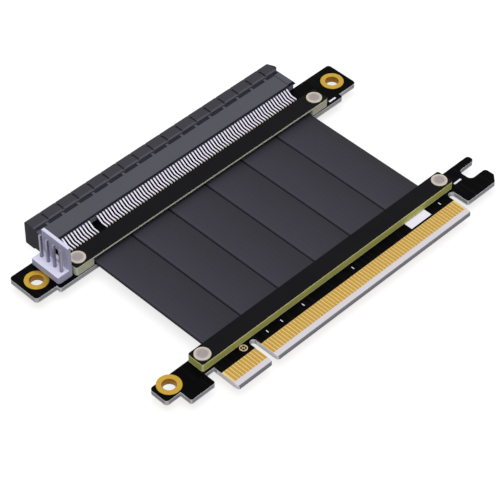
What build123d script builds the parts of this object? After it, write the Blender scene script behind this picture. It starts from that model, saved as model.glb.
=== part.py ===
from build123d import *
import os

# PCI Express x16 extension cable: a plug board and a socket board joined by six flat ribbons.
# Millimetres. X runs along the contacts, +Y from the plug's tongue to the socket's mouth, +Z up.
# The origin lies under the middle of the whole cable, level with the socket's underside.

# Whole cable
overall_length = 76.6
tongue_tip_y = -overall_length / 2
socket_mouth_y = overall_length / 2

# Contact layout of a sixteen-lane slot
contact_pitch = 1.0
short_row_count = 11
long_row_count = 71
row_gap = 3.0
contact_edge_margin = 1.1
key_width = 1.9
row_span = (short_row_count - 1 + long_row_count - 1) * contact_pitch + row_gap
tongue_half_width = row_span / 2 + contact_edge_margin
first_contact_x = -row_span / 2
long_row_x = first_contact_x + (short_row_count - 1) * contact_pitch + row_gap
key_x = long_row_x - row_gap / 2

# Boards, both on one level
board_thickness = 1.6
socket_height = 7.5
board_middle_z = socket_height / 2
board_top_z = board_middle_z + board_thickness / 2
board_bottom_z = board_middle_z - board_thickness / 2
board_corner = 1.0
board_corner_cut = 0.4

# Ribbons
ribbon_count = 6
ribbon_pitch = 13.22
ribbon_gap = 0.1
ribbon_thickness = 0.85
ribbon_edge_width = 0.55
ribbon_edge_thickness = 0.45
ribbon_side_clearance = 0.3
channel_half_length = ribbon_count * ribbon_pitch / 2 + ribbon_side_clearance

# Lengths of the clamp bars, the power header beside the bar, and the width that the ears reach
plug_bar_end = 5.74
socket_bar_end = 5.89
header_bar_gap = 0.605
header_width = 4.8
header_eyelet_offset = 2.745
socket_eyelet_margin = 4.4
plug_bar_half_length = channel_half_length + plug_bar_end
socket_bar_half_length = channel_half_length + socket_bar_end
header_left_x = -socket_bar_half_length - header_bar_gap - header_width
header_x = header_left_x + header_width / 2
socket_eyelet_x = header_eyelet_offset - header_left_x
half_width = socket_eyelet_x + socket_eyelet_margin

# Plug board
tongue_reach = 8.65
bevel_reach = 1.86
bevel_depth = 0.33
key_depth = 8.66
plug_shoulder_y = tongue_tip_y + tongue_reach
plug_back_reach = 6.05
plug_back_y = plug_shoulder_y + plug_back_reach
plug_ear_width = 4.6
tab_gap = 3.05
tab_reach = 3.75
hook_gap = 2.28
hook_reach = 5.6
hook_setback = 0.92
hook_chamfer = 2.0
fork_depth = 5.8
fork_width = 4.35
fork_corner = 1.4
prong_width = 2.25
prong_extra = 0.5

# Socket board
housing_depth = 10.2
socket_board_depth = 11.9
ear_setback = 1.4
ear_width = 6.8
socket_back_y = socket_mouth_y - housing_depth
socket_front_y = socket_back_y - socket_board_depth

# Gold fingers of the tongue
finger_width = 0.7
finger_length = 4.1
finger_thickness = 0.05
finger_front_y = tongue_tip_y + bevel_reach

# Eyelets
eyelet_bore_radius = 1.7
eyelet_barrel_radius = 2.0
eyelet_flange_radius = 3.25
eyelet_flange_thickness = 0.25
plug_eyelet_side_margin = 4.2
plug_eyelet_back_margin = 2.5
socket_eyelet_back_margin = 5.52
plug_eyelet_x = -half_width + plug_eyelet_side_margin
plug_eyelet_y = plug_back_y - plug_eyelet_back_margin
socket_eyelet_y = socket_back_y - socket_eyelet_back_margin

# Rivets
rivet_head_radius = 2.2
rivet_head_height = 0.45
rivet_rim_width = 0.45
rivet_shank_radius = 1.1
rivet_tail_radius = 1.8
rivet_tail_height = 0.6

# Clamp bars
bar_wall = 1.2
bar_corner = 0.4
plug_bar_depth = 5.4
plug_bar_height = 2.55
plug_channel_height = 0.95
plug_bar_back_y = plug_back_y
plug_bar_front_y = plug_bar_back_y - plug_bar_depth
plug_rivet_margin = 2.5
plug_rivet_x = plug_bar_half_length - plug_rivet_margin
plug_rivet_y = plug_bar_back_y - plug_bar_depth / 2
socket_bar_setback = 0.2
socket_bar_depth = 5.4
socket_bar_height = 2.87
socket_bar_lip = 0.65
socket_bar_front_y = socket_front_y + socket_bar_setback
socket_bar_back_y = socket_bar_front_y + socket_bar_depth
socket_rivet_margin = 2.75
socket_rivet_x = socket_bar_half_length - socket_rivet_margin
socket_rivet_y = socket_bar_front_y + socket_bar_depth / 2

# Bare wire ends of the ribbons, soldered to the boards inside the clamp bars
wires_per_ribbon = 2
wire_pitch = 6.0
wire_width = 1.4
wire_thickness = 0.3
wire_reach = 1.1
wire_clearance = 0.25
plug_wire_tip_y = plug_bar_front_y + bar_wall + wire_clearance
plug_ribbon_end_y = plug_wire_tip_y + wire_reach
socket_wire_tip_y = socket_bar_back_y - bar_wall - wire_clearance
socket_ribbon_end_y = socket_wire_tip_y - wire_reach

# Socket housing
card_slot_clearance = 0.15
housing_end_wall = 1.6
housing_rear_y = socket_back_y
housing_right_x = tongue_half_width + card_slot_clearance + housing_end_wall
housing_left_x = -housing_right_x
housing_body_height = 6.5
end_lip_reach = 0.95
end_lip_drop = 1.25
plate_drop = 0.25
plate_end_width = 1.8
flange_depth = 3.65
flange_rear_y = socket_mouth_y - flange_depth
flange_end_reach = 0.55
flange_right_x = housing_right_x + flange_end_reach
flange_rear_corner = 0.6
flange_corner_x = 1.0
flange_corner_y = 2.3
flange_edge = 0.25
flange_step = (socket_height - housing_body_height) / 2
flange_slope = flange_step * 0.8
groove_width = 0.9
groove_depth = 0.35
groove_end_margin = 0.8
notch_count = 16
notch_pitch = 5.29
notch_width = 0.6
notch_depth = 0.5
first_notch_margin = 5.1
first_notch_x = housing_left_x + first_notch_margin
groove_rib_width = 0.9

# Card slot inside the housing
card_slot_height = 1.8
card_slot_depth = 8.0
key_rib_clearance = 0.1
key_rib_setback = 0.9
trough_roof = 0.4
trough_top = housing_body_height / 2 - plate_drop - groove_depth - trough_roof
trough_depth = trough_top - card_slot_height / 2
trough_front_setback = 1.0
rear_wall = 1.5
trough_rear_y = housing_rear_y + rear_wall

# Spring contacts
contact_width = 0.42
contact_thickness = 0.2
contact_foot_reach = 3.9
contact_bend_reach = 1.6
contact_foot_y = socket_back_y - contact_foot_reach
contact_bend_y = socket_back_y - contact_bend_reach
contact_entry_drop = 0.05
contact_entry_height = trough_top - contact_entry_drop
contact_entry_clearance = 0.05
contact_point_height = 0.65
contact_point_setback = 3.0
contact_fall = (contact_entry_height - contact_point_height) / (housing_depth - contact_point_setback)
contact_entry_slope = rear_wall * contact_fall
contact_tip_setback = 1.5
contact_tip_height = 1.35
foot_height = board_thickness / 2 + contact_thickness / 2

# Power header
header_back_margin = 5.7
header_y = socket_back_y - header_back_margin
header_length = 10.0
header_base_height = 2.52
header_undercut_clearance = 0.1
header_undercut_width = eyelet_flange_radius - header_eyelet_offset + header_undercut_clearance
header_undercut_height = eyelet_flange_thickness + header_undercut_clearance
wall_thickness = 1.0
header_height = 10.2
window_width = 3.1
window_height = 3.5
window_sill = 1.05
pin_count = 4
pin_pitch = 2.5
pin_width = 0.7
pin_offset_x = -0.05
pin_tip = 0.15
pin_tail = 1.2

os.makedirs("parts", exist_ok=True)


def corners_at(outline, *points):
    """The vertices of a flat outline that lie at the given points."""
    return [v for v in outline.vertices() for p in points if (Vector(v.X, v.Y) - Vector(*p)).length < 0.01]


def contact_places():
    """The X of each contact centre, the short row first."""
    short_row = [first_contact_x + contact_pitch * i for i in range(short_row_count)]
    long_row = [long_row_x + contact_pitch * i for i in range(long_row_count)]
    return short_row + long_row


# Plug board, with its tongue, its mounting ear, its blank tab and its hook with the open fork slot
ear_right_x = -half_width + plug_ear_width
tab_right_x = -tongue_half_width - tab_gap
tab_front_y = plug_shoulder_y - tab_reach
hook_left_x = tongue_half_width + hook_gap
hook_front_y = plug_shoulder_y - hook_reach
hook_right_x = half_width - hook_setback
prong_front_y = plug_back_y - prong_width
prong_right_x = hook_right_x + prong_extra
fork_front_y = prong_front_y - fork_width
fork_end_x = hook_right_x - fork_depth

with BuildPart() as plug_board:
    with BuildSketch(Plane.XY.offset(board_bottom_z)) as plug_outline:
        with BuildLine():
            Polyline(
                (-half_width, plug_back_y),
                (-half_width, plug_shoulder_y),
                (ear_right_x, plug_shoulder_y),
                (ear_right_x, tab_front_y),
                (tab_right_x, tab_front_y),
                (tab_right_x, plug_shoulder_y),
                (-tongue_half_width, plug_shoulder_y),
                (-tongue_half_width, tongue_tip_y),
                (tongue_half_width, tongue_tip_y),
                (tongue_half_width, plug_shoulder_y),
                (hook_left_x, plug_shoulder_y),
                (hook_left_x, hook_front_y),
                (hook_right_x - hook_chamfer, hook_front_y),
                (hook_right_x, hook_front_y + hook_chamfer),
                (hook_right_x, fork_front_y),
                (fork_end_x, fork_front_y),
                (fork_end_x, prong_front_y),
                (prong_right_x, prong_front_y),
                (prong_right_x, plug_back_y),
                close=True,
            )
        make_face()
        with Locations((key_x, tongue_tip_y)):
            SlotOverall(2 * key_depth, key_width, rotation=90, mode=Mode.SUBTRACT)
        hook_gap_end = corners_at(
            plug_outline,
            (tongue_half_width, plug_shoulder_y),
            (hook_left_x, plug_shoulder_y),
        )
        fillet(hook_gap_end, hook_gap * 0.45)
        fork_end = corners_at(
            plug_outline,
            (fork_end_x, fork_front_y),
            (fork_end_x, prong_front_y),
        )
        fillet(fork_end, fork_corner)
        outer_corners = corners_at(
            plug_outline,
            (-half_width, plug_back_y),
            (-half_width, plug_shoulder_y),
            (prong_right_x, prong_front_y),
            (prong_right_x, plug_back_y),
            (hook_right_x, fork_front_y),
        )
        fillet(outer_corners, board_corner)
        cut_corners = corners_at(
            plug_outline,
            (ear_right_x, tab_front_y),
            (tab_right_x, tab_front_y),
            (-tongue_half_width, tongue_tip_y),
            (key_x - key_width / 2, tongue_tip_y),
            (key_x + key_width / 2, tongue_tip_y),
            (tongue_half_width, tongue_tip_y),
            (hook_left_x, hook_front_y),
        )
        chamfer(cut_corners, board_corner_cut)
    extrude(amount=board_thickness)
    with BuildSketch(Plane.YZ):
        for side in (1, -1):
            face_z = board_middle_z + side * board_thickness / 2
            with BuildLine():
                Polyline(
                    (tongue_tip_y, face_z),
                    (tongue_tip_y, face_z - side * bevel_depth),
                    (tongue_tip_y + bevel_reach, face_z),
                    close=True,
                )
            make_face()
    extrude(amount=tongue_half_width, both=True, mode=Mode.SUBTRACT)
    with Locations(
        (-plug_rivet_x, plug_rivet_y, board_top_z),
        (plug_rivet_x, plug_rivet_y, board_top_z),
    ):
        Hole(rivet_shank_radius)
    with Locations((plug_eyelet_x, plug_eyelet_y, board_top_z)):
        Hole(eyelet_barrel_radius)
plug_board.part.label = "plug_board"
export_step(plug_board.part, "parts/plug_board.step")

# Gold fingers on both faces of the tongue
for side_name, plane_z in (
    ("top", board_top_z),
    ("bottom", board_bottom_z - finger_thickness),
):
    with BuildPart() as fingers:
        with BuildSketch(Plane.XY.offset(plane_z)):
            with Locations(*[(x, finger_front_y + finger_length / 2) for x in contact_places()]):
                Rectangle(finger_width, finger_length)
        extrude(amount=finger_thickness)
    fingers.part.label = "plug_fingers_" + side_name
    export_step(fingers.part, "parts/plug_fingers_" + side_name + ".step")

# Socket board, with an ear at each end
with BuildPart() as socket_board:
    with BuildSketch(Plane.XY.offset(board_bottom_z)) as socket_outline:
        ear_inner_x = half_width - ear_width
        ear_front_y = socket_front_y + ear_setback
        with BuildLine():
            Polyline(
                (-half_width, socket_back_y),
                (-half_width, ear_front_y),
                (-ear_inner_x, ear_front_y),
                (-ear_inner_x, socket_front_y),
                (ear_inner_x, socket_front_y),
                (ear_inner_x, ear_front_y),
                (half_width, ear_front_y),
                (half_width, socket_back_y),
                close=True,
            )
        make_face()
        ear_corners = corners_at(
            socket_outline,
            (-half_width, ear_front_y),
            (half_width, ear_front_y),
            (-half_width, socket_back_y),
            (half_width, socket_back_y),
        )
        fillet(ear_corners, board_corner)
        step_corners = corners_at(
            socket_outline,
            (-ear_inner_x, socket_front_y),
            (ear_inner_x, socket_front_y),
        )
        chamfer(step_corners, board_corner_cut)
    extrude(amount=board_thickness)
    with Locations(
        (-socket_rivet_x, socket_rivet_y, board_top_z),
        (socket_rivet_x, socket_rivet_y, board_top_z),
    ):
        Hole(rivet_shank_radius)
    with Locations(
        (-socket_eyelet_x, socket_eyelet_y, board_top_z),
        (socket_eyelet_x, socket_eyelet_y, board_top_z),
    ):
        Hole(eyelet_barrel_radius)
    # Holes for the header's pins, filled by solder up to each square pin
    with BuildSketch(Plane.XY.offset(board_bottom_z)):
        with Locations((header_x + pin_offset_x, header_y)):
            with GridLocations(pin_pitch, pin_pitch, 1, pin_count):
                Rectangle(pin_width, pin_width)
    extrude(amount=board_thickness, mode=Mode.SUBTRACT)
socket_board.part.label = "socket_board"
export_step(socket_board.part, "parts/socket_board.step")

# Flanged eyelets, rolled over both faces of their board
for node_name, eyelet_x, eyelet_y in (
    ("plug_eyelet", plug_eyelet_x, plug_eyelet_y),
    ("socket_eyelet_left", -socket_eyelet_x, socket_eyelet_y),
    ("socket_eyelet_right", socket_eyelet_x, socket_eyelet_y),
):
    with BuildPart() as eyelet:
        with BuildSketch(Plane.XZ.offset(-eyelet_y)):
            with BuildLine():
                Polyline(
                    (eyelet_x + eyelet_bore_radius, board_bottom_z - eyelet_flange_thickness),
                    (eyelet_x + eyelet_flange_radius, board_bottom_z - eyelet_flange_thickness),
                    (eyelet_x + eyelet_flange_radius, board_bottom_z),
                    (eyelet_x + eyelet_barrel_radius, board_bottom_z),
                    (eyelet_x + eyelet_barrel_radius, board_top_z),
                    (eyelet_x + eyelet_flange_radius, board_top_z),
                    (eyelet_x + eyelet_flange_radius, board_top_z + eyelet_flange_thickness),
                    (eyelet_x + eyelet_bore_radius, board_top_z + eyelet_flange_thickness),
                    close=True,
                )
            make_face()
        revolve(axis=Axis((eyelet_x, eyelet_y, 0), (0, 0, 1)))
    eyelet.part.label = node_name
    export_step(eyelet.part, "parts/" + node_name + ".step")

# Plug clamp bar: a solid front edge, with the ribbons' channel open at the back
with BuildPart() as plug_clamp_bar:
    with BuildSketch(Plane.XY.offset(board_top_z)) as plug_bar_outline:
        with Locations((0, (plug_bar_front_y + plug_bar_back_y) / 2)):
            Rectangle(2 * plug_bar_half_length, plug_bar_depth)
        chamfer(plug_bar_outline.vertices(), bar_corner)
    extrude(amount=plug_bar_height)
    with BuildSketch(Plane.XY.offset(board_top_z)):
        with Locations((0, plug_bar_front_y + bar_wall)):
            Rectangle(2 * channel_half_length, plug_bar_depth, align=(Align.CENTER, Align.MIN))
    extrude(amount=plug_channel_height, mode=Mode.SUBTRACT)
    with Locations(
        (-plug_rivet_x, plug_rivet_y, board_top_z + plug_bar_height),
        (plug_rivet_x, plug_rivet_y, board_top_z + plug_bar_height),
    ):
        Hole(rivet_shank_radius)
plug_clamp_bar.part.label = "plug_clamp_bar"
export_step(plug_clamp_bar.part, "parts/plug_clamp_bar.step")

# Socket clamp bar: a thin lip over the ribbons, between two solid ends
with BuildPart() as socket_clamp_bar:
    with BuildSketch(Plane.XY.offset(board_top_z)) as socket_bar_outline:
        with Locations((0, (socket_bar_front_y + socket_bar_back_y) / 2)):
            Rectangle(2 * socket_bar_half_length, socket_bar_depth)
        chamfer(socket_bar_outline.vertices(), bar_corner)
    extrude(amount=socket_bar_height)
    with BuildSketch(Plane.XY.offset(board_top_z)):
        with Locations((0, socket_bar_back_y - bar_wall)):
            Rectangle(2 * channel_half_length, socket_bar_depth, align=(Align.CENTER, Align.MAX))
    extrude(amount=socket_bar_height - socket_bar_lip, mode=Mode.SUBTRACT)
    with Locations(
        (-socket_rivet_x, socket_rivet_y, board_top_z + socket_bar_height),
        (socket_rivet_x, socket_rivet_y, board_top_z + socket_bar_height),
    ):
        Hole(rivet_shank_radius)
socket_clamp_bar.part.label = "socket_clamp_bar"
export_step(socket_clamp_bar.part, "parts/socket_clamp_bar.step")

# Rivets: a low head with a sloped rim on the bar, a shank through bar and board, and a flat tail below
for node_name, rivet_x, rivet_y, bar_height in (
    ("plug_rivet_left", -plug_rivet_x, plug_rivet_y, plug_bar_height),
    ("plug_rivet_right", plug_rivet_x, plug_rivet_y, plug_bar_height),
    ("socket_rivet_left", -socket_rivet_x, socket_rivet_y, socket_bar_height),
    ("socket_rivet_right", socket_rivet_x, socket_rivet_y, socket_bar_height),
):
    head_z = board_top_z + bar_height
    with BuildPart() as rivet:
        with BuildSketch(Plane.XZ.offset(-rivet_y)):
            with BuildLine():
                Polyline(
                    (rivet_x, head_z + rivet_head_height),
                    (rivet_x, board_bottom_z - rivet_tail_height),
                    (rivet_x + rivet_tail_radius, board_bottom_z - rivet_tail_height),
                    (rivet_x + rivet_tail_radius, board_bottom_z),
                    (rivet_x + rivet_shank_radius, board_bottom_z),
                    (rivet_x + rivet_shank_radius, head_z),
                    (rivet_x + rivet_head_radius, head_z),
                    (rivet_x + rivet_head_radius - rivet_rim_width, head_z + rivet_head_height),
                    close=True,
                )
            make_face()
        revolve(axis=Axis((rivet_x, rivet_y, 0), (0, 0, 1)))
    rivet.part.label = node_name
    export_step(rivet.part, "parts/" + node_name + ".step")

# Six flat ribbons side by side, each with a thinner laminated edge
for index in range(ribbon_count):
    ribbon_x = (index - (ribbon_count - 1) / 2) * ribbon_pitch
    edge_x = (ribbon_pitch - ribbon_gap) / 2
    core_x = edge_x - ribbon_edge_width
    with BuildPart() as ribbon:
        with BuildSketch(Plane.XZ.offset(-plug_ribbon_end_y)):
            with BuildLine():
                Polyline(
                    (ribbon_x - edge_x, board_top_z),
                    (ribbon_x + edge_x, board_top_z),
                    (ribbon_x + edge_x, board_top_z + ribbon_edge_thickness),
                    (ribbon_x + core_x, board_top_z + ribbon_thickness),
                    (ribbon_x - core_x, board_top_z + ribbon_thickness),
                    (ribbon_x - edge_x, board_top_z + ribbon_edge_thickness),
                    close=True,
                )
            make_face()
        extrude(amount=plug_ribbon_end_y - socket_ribbon_end_y)
    ribbon.part.label = "ribbon_" + str(index + 1)
    export_step(ribbon.part, "parts/ribbon_" + str(index + 1) + ".step")

# Bare wire ends, soldered flat on each board behind the ribbons
for node_name, first_y in (
    ("plug_wire_ends", plug_wire_tip_y),
    ("socket_wire_ends", socket_ribbon_end_y),
):
    with BuildPart() as wire_ends:
        with BuildSketch(Plane.XY.offset(board_top_z)):
            with Locations((0, first_y + wire_reach / 2)):
                with GridLocations(ribbon_pitch, 1, ribbon_count, 1):
                    with GridLocations(wire_pitch, 1, wires_per_ribbon, 1):
                        Rectangle(wire_width, wire_reach)
        extrude(amount=wire_thickness)
    wire_ends.part.label = node_name
    export_step(wire_ends.part, "parts/" + node_name + ".step")

# Socket housing
card_slot_half = tongue_half_width + card_slot_clearance
notch_places = [(first_notch_x + notch_pitch * i) for i in range(notch_count)]

with BuildPart() as socket_housing:
    # Body, with a sloping lip along both edges of its right end
    with BuildSketch(Plane.XZ.offset(-housing_rear_y)):
        with Locations((0, board_middle_z)):
            Rectangle(housing_right_x - housing_left_x, housing_body_height)
        for side in (1, -1):
            lip_z = board_middle_z + side * (housing_body_height / 2 - end_lip_drop)
            with BuildLine():
                Polyline(
                    (housing_right_x, lip_z + side * end_lip_drop),
                    (housing_right_x, lip_z),
                    (housing_right_x + end_lip_reach, lip_z),
                    close=True,
                )
            make_face()
    extrude(amount=housing_rear_y - flange_rear_y)
    # Mouth flange, full height, with its right corners cut back and its rear edges sloped
    with BuildSketch(Plane.XY) as flange_outline:
        with BuildLine():
            Polyline(
                (housing_left_x, flange_rear_y),
                (flange_right_x - flange_rear_corner, flange_rear_y),
                (flange_right_x, flange_rear_y + flange_rear_corner),
                (flange_right_x, socket_mouth_y - flange_corner_y),
                (flange_right_x - flange_corner_x, socket_mouth_y),
                (housing_left_x, socket_mouth_y),
                close=True,
            )
        make_face()
    extrude(amount=socket_height)
    mouth_edges = socket_housing.edges().filter_by(Axis.X).group_by(Axis.Y)[-1]
    chamfer(mouth_edges, flange_edge)
    for level in (0, -1):
        level_edges = socket_housing.edges().filter_by(Axis.X).group_by(Axis.Z)[level]
        chamfer(level_edges.sort_by(Axis.Y)[0], flange_slope)
    # Plate above and below, a little lower than the two ends
    for side in (1, -1):
        with BuildSketch(Plane.XY.offset(board_middle_z + side * housing_body_height / 2)):
            with Locations((0, housing_rear_y)):
                Rectangle(
                    2 * (-housing_left_x - plate_end_width),
                    flange_rear_y - housing_rear_y,
                    align=(Align.CENTER, Align.MIN),
                )
        extrude(amount=-side * plate_drop, mode=Mode.SUBTRACT)
    # Cross notches over the upper flange
    with BuildSketch(Plane.XY.offset(socket_height)):
        with Locations(*[(x, (flange_rear_y + socket_mouth_y) / 2) for x in notch_places]):
            Rectangle(notch_width, flange_depth)
    extrude(amount=-notch_depth, mode=Mode.SUBTRACT)
    # Groove along the foot of the upper flange, crossed by a small rib beside each notch
    with BuildSketch(Plane.XY.offset(board_middle_z + housing_body_height / 2)):
        with Locations((0, flange_rear_y)):
            Rectangle(
                2 * (-housing_left_x - groove_end_margin),
                groove_width,
                align=(Align.CENTER, Align.MAX),
            )
            with Locations(*[(x - (notch_width + groove_rib_width) / 2, 0) for x in notch_places]):
                Rectangle(
                    groove_rib_width,
                    groove_width,
                    align=(Align.CENTER, Align.MAX),
                    mode=Mode.SUBTRACT,
                )
    extrude(amount=-(plate_drop + groove_depth), mode=Mode.SUBTRACT)
    # Card slot with its key rib
    with BuildSketch(Plane.XZ.offset(-socket_mouth_y)):
        with Locations((0, board_middle_z)):
            Rectangle(2 * card_slot_half, card_slot_height)
    extrude(amount=card_slot_depth, mode=Mode.SUBTRACT)
    # Troughs for the spring contacts, one above and one below the slot
    for side in (1, -1):
        slot_face_z = board_middle_z + side * card_slot_height / 2
        with BuildSketch(Plane.XY.offset(slot_face_z)):
            with Locations((0, trough_rear_y)):
                Rectangle(
                    row_span + 2 * contact_pitch,
                    socket_mouth_y - trough_front_setback - trough_rear_y,
                    align=(Align.CENTER, Align.MIN),
                )
        extrude(amount=side * trough_depth, mode=Mode.SUBTRACT)
        # Slit through the rear wall for the sloping contact tails
        slit_height = contact_thickness + contact_entry_slope + 2 * contact_entry_clearance
        with BuildSketch(Plane.XZ.offset(-housing_rear_y)):
            with Locations((0, board_middle_z + side * (contact_entry_height - contact_entry_slope / 2))):
                Rectangle(row_span + 2 * contact_pitch, slit_height)
        extrude(amount=-rear_wall, mode=Mode.SUBTRACT)
    with BuildSketch(Plane.XZ.offset(-(socket_mouth_y - key_rib_setback))):
        with Locations((key_x, board_middle_z)):
            Rectangle(key_width - 2 * key_rib_clearance, card_slot_height + 2 * trough_depth)
    extrude(amount=socket_mouth_y - key_rib_setback - housing_rear_y)
socket_housing.part.label = "socket_housing"
export_step(socket_housing.part, "parts/socket_housing.step")

# Spring contacts: a foot soldered to the board, a tail up into the housing and a bowed spring.
# Toe and tip are drawn out thin.
for side_name, side in (("top", 1), ("bottom", -1)):
    lower_line = (
        (contact_foot_y, foot_height - contact_thickness / 2),
        (contact_bend_y + contact_thickness / 2, foot_height - contact_thickness / 2),
        (housing_rear_y, contact_entry_height - contact_thickness / 2),
        (socket_mouth_y - contact_point_setback, contact_point_height - contact_thickness / 2),
        (socket_mouth_y - contact_tip_setback, contact_tip_height),
    )
    upper_line = (
        (socket_mouth_y - contact_point_setback, contact_point_height + contact_thickness / 2),
        (housing_rear_y - contact_thickness / 2, contact_entry_height + contact_thickness / 2),
        (contact_bend_y, foot_height + contact_thickness / 2),
    )
    outline = [(y, board_middle_z + side * height) for y, height in lower_line + upper_line]
    with BuildPart() as contacts:
        for contact_x in contact_places():
            with BuildSketch(Plane.YZ.offset(contact_x)):
                with BuildLine():
                    Polyline(*outline, close=True)
                make_face()
        extrude(amount=contact_width / 2, both=True)
    contacts.part.label = "contacts_" + side_name
    export_step(contacts.part, "parts/contacts_" + side_name + ".step")

# Power header: a low base with a tall latch wall behind its pins
wall_left_x = header_x + header_width / 2 - wall_thickness

with BuildPart() as power_header:
    with BuildSketch(Plane.XY.offset(board_top_z)):
        with Locations((header_x, header_y)):
            Rectangle(header_width, header_length)
    extrude(amount=header_base_height)
    with BuildSketch(Plane.XY.offset(board_top_z)):
        with Locations((wall_left_x, header_y)):
            Rectangle(wall_thickness, header_length, align=(Align.MIN, Align.CENTER))
    extrude(amount=header_height)
    with BuildSketch(Plane.YZ.offset(wall_left_x)):
        with Locations((header_y, board_top_z + header_base_height + window_sill)):
            Rectangle(window_width, window_height, align=(Align.CENTER, Align.MIN))
    extrude(amount=wall_thickness, mode=Mode.SUBTRACT)
    with BuildSketch(Plane.XY.offset(board_top_z)):
        with Locations((header_left_x, header_y)):
            Rectangle(header_undercut_width, header_length, align=(Align.MIN, Align.CENTER))
    extrude(amount=header_undercut_height, mode=Mode.SUBTRACT)
    with BuildSketch(Plane.XY.offset(board_top_z)):
        with Locations((header_x + pin_offset_x, header_y)):
            with GridLocations(pin_pitch, pin_pitch, 1, pin_count):
                Rectangle(pin_width, pin_width)
    extrude(amount=header_base_height, mode=Mode.SUBTRACT)
power_header.part.label = "power_header"
export_step(power_header.part, "parts/power_header.step")

# Header pins, square, with a chamfered tip and a soldered tail below the board
for index in range(pin_count):
    pin_y = header_y + (index - (pin_count - 1) / 2) * pin_pitch
    with BuildPart() as header_pin:
        with BuildSketch(Plane.XY.offset(board_bottom_z - pin_tail)):
            with Locations((header_x + pin_offset_x, pin_y)):
                Rectangle(pin_width, pin_width)
        extrude(amount=pin_tail + board_thickness + header_height)
        chamfer(header_pin.faces().sort_by(Axis.Z)[-1].edges(), pin_tip)
    header_pin.part.label = "header_pin_" + str(index + 1)
    export_step(header_pin.part, "parts/header_pin_" + str(index + 1) + ".step")
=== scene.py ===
"""A flat card-slot extension cable on a pale floor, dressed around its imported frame."""

import logging
import math
from dataclasses import dataclass
from enum import Enum
from functools import cache

import bmesh
import bpy
from mathutils import Matrix, Vector


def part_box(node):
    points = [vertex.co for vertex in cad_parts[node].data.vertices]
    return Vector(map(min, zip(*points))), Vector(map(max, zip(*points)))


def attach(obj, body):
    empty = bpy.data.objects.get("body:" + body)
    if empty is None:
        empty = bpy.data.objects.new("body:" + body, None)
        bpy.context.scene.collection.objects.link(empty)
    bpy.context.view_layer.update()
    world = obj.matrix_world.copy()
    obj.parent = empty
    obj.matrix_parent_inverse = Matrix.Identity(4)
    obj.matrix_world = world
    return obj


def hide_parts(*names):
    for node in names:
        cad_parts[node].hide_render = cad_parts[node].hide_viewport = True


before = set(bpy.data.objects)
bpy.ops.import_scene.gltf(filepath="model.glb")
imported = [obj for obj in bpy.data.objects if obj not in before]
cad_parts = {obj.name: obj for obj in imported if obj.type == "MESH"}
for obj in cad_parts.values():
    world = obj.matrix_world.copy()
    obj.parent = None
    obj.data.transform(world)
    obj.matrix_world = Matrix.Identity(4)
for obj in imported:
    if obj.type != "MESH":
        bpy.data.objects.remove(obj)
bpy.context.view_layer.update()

LOG = logging.getLogger("extension_cable")
MM = 0.001
ROOT = "root"
FAR = 1.0  # metres, well past the object: the open side of a band
WELD = 0.001 * MM  # points nearer than this are one
FLAT_ANGLE = math.radians(1.0)  # facets that meet at less than this lie in one face
CRISP_ANGLE = math.radians(40)  # edges sharper than this are broken
NOISE_RANGE = (0.3, 0.7)  # where most of a noise's values lie
NUMBER, COLOUR, VECTOR = "NodeSocketFloat", "NodeSocketColor", "NodeSocketVector"

Colour = tuple[float, float, float, float]
Point = tuple[float, float, float]
Flat = tuple[float, float]
Shape = bmesh.types.BMesh
Material = bpy.types.Material
Socket = bpy.types.NodeSocket
ShaderNode = bpy.types.Node
ShaderTree = bpy.types.NodeTree


def screen(red: float, green: float, blue: float) -> Colour:
    """Turn a colour as a screen shows it into the linear values that a shader takes.

    Args:
        red: Red, 0 to 255.
        green: Green, 0 to 255.
        blue: Blue, 0 to 255.

    Returns:
        The linear colour, with full alpha.
    """
    shares = (value / 255 for value in (red, green, blue))
    linear = (s / 12.92 if s <= 0.04045 else ((s + 0.055) / 1.055) ** 2.4 for s in shares)
    return (*linear, 1.0)


class Face(Enum):
    """The side of a board that something lies on."""

    TOP = 1
    BOTTOM = -1

    @property
    def word(self) -> str:
        """The side as the names of pieces give it."""
        return self.name.lower()


@dataclass(frozen=True)
class NodeBox:
    """The place of one carried-over solid, in metres."""

    node: str

    @property
    def low(self) -> Vector:
        """The lowest corner."""
        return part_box(self.node)[0]

    @property
    def high(self) -> Vector:
        """The highest corner."""
        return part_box(self.node)[1]

    @property
    def centre(self) -> Vector:
        """The middle of the box."""
        return (self.low + self.high) / 2

    @property
    def size(self) -> Vector:
        """The lengths of the box's edges."""
        return self.high - self.low

    def surface(self, face: Face) -> float:
        """The height of the upper or the lower face."""
        return self.high.z if face is Face.TOP else self.low.z


@dataclass(frozen=True)
class ContactRow:
    """Where the 82 contacts of a sixteen-lane card edge stand."""

    pitch: float = 1.0 * MM
    short_count: int = 11
    long_count: int = 71
    gap: float = 3.0 * MM

    @property
    def short_span(self) -> float:
        """The distance from the first contact of the short row to its last."""
        return (self.short_count - 1) * self.pitch

    @property
    def first_x(self) -> float:
        """The first contact's X, with both rows centred on the board."""
        return -(self.short_span + self.gap + (self.long_count - 1) * self.pitch) / 2

    @property
    def key_x(self) -> float:
        """The middle of the key, between the short row and the long row."""
        return self.first_x + self.short_span + self.gap / 2

    def places(self) -> list[float]:
        """List where the contacts stand.

        Returns:
            The X of each contact, the short row first.
        """
        second = self.first_x + self.short_span + self.gap
        short = [self.first_x + self.pitch * i for i in range(self.short_count)]
        return short + [second + self.pitch * i for i in range(self.long_count)]


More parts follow.
